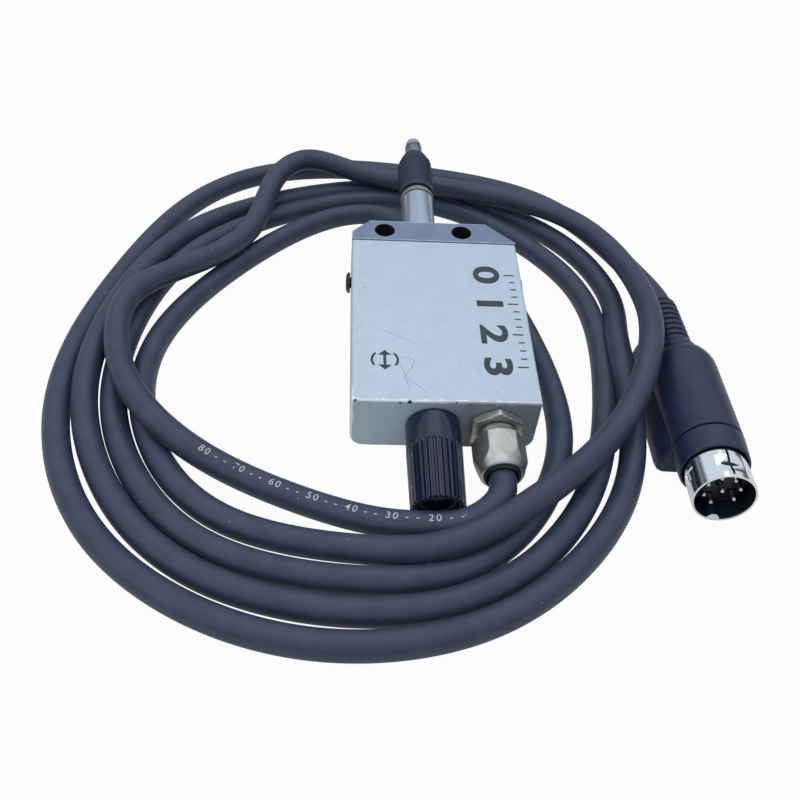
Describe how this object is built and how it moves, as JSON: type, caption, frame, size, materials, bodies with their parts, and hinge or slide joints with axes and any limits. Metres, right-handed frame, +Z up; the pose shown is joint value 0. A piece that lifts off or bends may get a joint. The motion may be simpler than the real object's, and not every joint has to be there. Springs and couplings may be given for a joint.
{
  "type": "digital measuring probe",
  "caption": "Linear measuring probe with a flat alloy case, clamping stem, rubber bellows and plunger, a ribbed rear cap and a coiled signal cord to a round multi-pin plug.",
  "frame": {"origin": "on the surface it lies on, under the middle of the probe without its cord and plug", "axes": "+Z up, +Y from the cord gland towards the contact point, +X to the gland's side"},
  "size_m": [0.1445, 0.1716, 0.0231],
  "materials": {
    "case_silver": "satin paint, scuffed",
    "flange_alloy": "matt anodised",
    "ground_steel": "ground",
    "nickel_plate": "dull nickel plate",
    "olive_zinc": "olive passivated zinc",
    "brass_bush": "turned",
    "spring_steel": "drawn wire",
    "black_steel": "blackened",
    "cap_plastic": "moulded, ribbed",
    "plug_plastic": "moulded, fine grain",
    "seal_rubber": "matt",
    "bellows_rubber": "matt",
    "cord_jacket": "matt jacket with dust",
    "core_sheath": "extruded",
    "board_green": "solder mask",
    "chip_black": "moulded",
    "connector_white": "moulded",
    "collar_grey": "satin",
    "contact_pale": "polished hard metal",
    "bright_chrome": "bright",
    "pin_nickel": "plated"
  },
  "bodies": {
    "probe": {"case": "case_silver", "flange_block": "flange_alloy", "case_seal": "seal_rubber", "side_screw_left": "black_steel", "side_screw_right": "black_steel", "stem": "ground_steel", "front_bush": "brass_bush", "rear_bush": "brass_bush", "chassis": "flange_alloy", "chassis_screw_left": "black_steel", "chassis_screw_right": "black_steel", "reading_head": "chip_black", "circuit_board": "board_green", "amplifier_chip": "chip_black", "board_connector": "connector_white", "signal_wires": "core_sheath", "return_spring": "spring_steel", "bellows_clamp": "olive_zinc", "bellows": "bellows_rubber", "rear_nipple": "nickel_plate", "nipple_nut": "nickel_plate", "cap_seal": "seal_rubber", "gland_nut": "nickel_plate", "gland_body": "olive_zinc", "gland_cap": "nickel_plate", "gland_seal": "seal_rubber", "cord_core": "core_sheath", "cord": "cord_jacket", "plug_boot": "plug_plastic", "plug_body": "plug_plastic", "plug_collar": "plug_plastic", "plug_shell": "bright_chrome", "plug_insert": "chip_black", "pin_1": "pin_nickel", "pin_2": "pin_nickel", "pin_3": "pin_nickel", "pin_4": "pin_nickel", "pin_5": "pin_nickel", "pin_6": "pin_nickel", "pin_7": "pin_nickel", "pin_8": "pin_nickel"},
    "plunger": {"spindle": "ground_steel", "spindle_carrier": "flange_alloy", "carrier_screw": "black_steel", "guide_pin": "ground_steel", "scale_bar": "ground_steel", "spindle_collar": "collar_grey", "contact_point": "contact_pale"},
    "cap": {"rear_cap": "cap_plastic"}
  },
  "joints": [
    {"name": "spindle_slide", "type": "slide", "parent": "probe", "child": "plunger", "axis": [0, -0.9925, -0.1219], "range_m": [0, 0.005], "stiffness_N_per_m": 60, "springref_m": -0.004, "deforming": ["bellows", "return_spring"]},
    {"name": "rear_cap_turn", "type": "hinge", "parent": "probe", "child": "cap", "pos_m": [-0.0024, -0.04988, 0.00659], "axis": [0, 0.9925, 0.1219], "range_deg": [0, 720]}
  ]
}
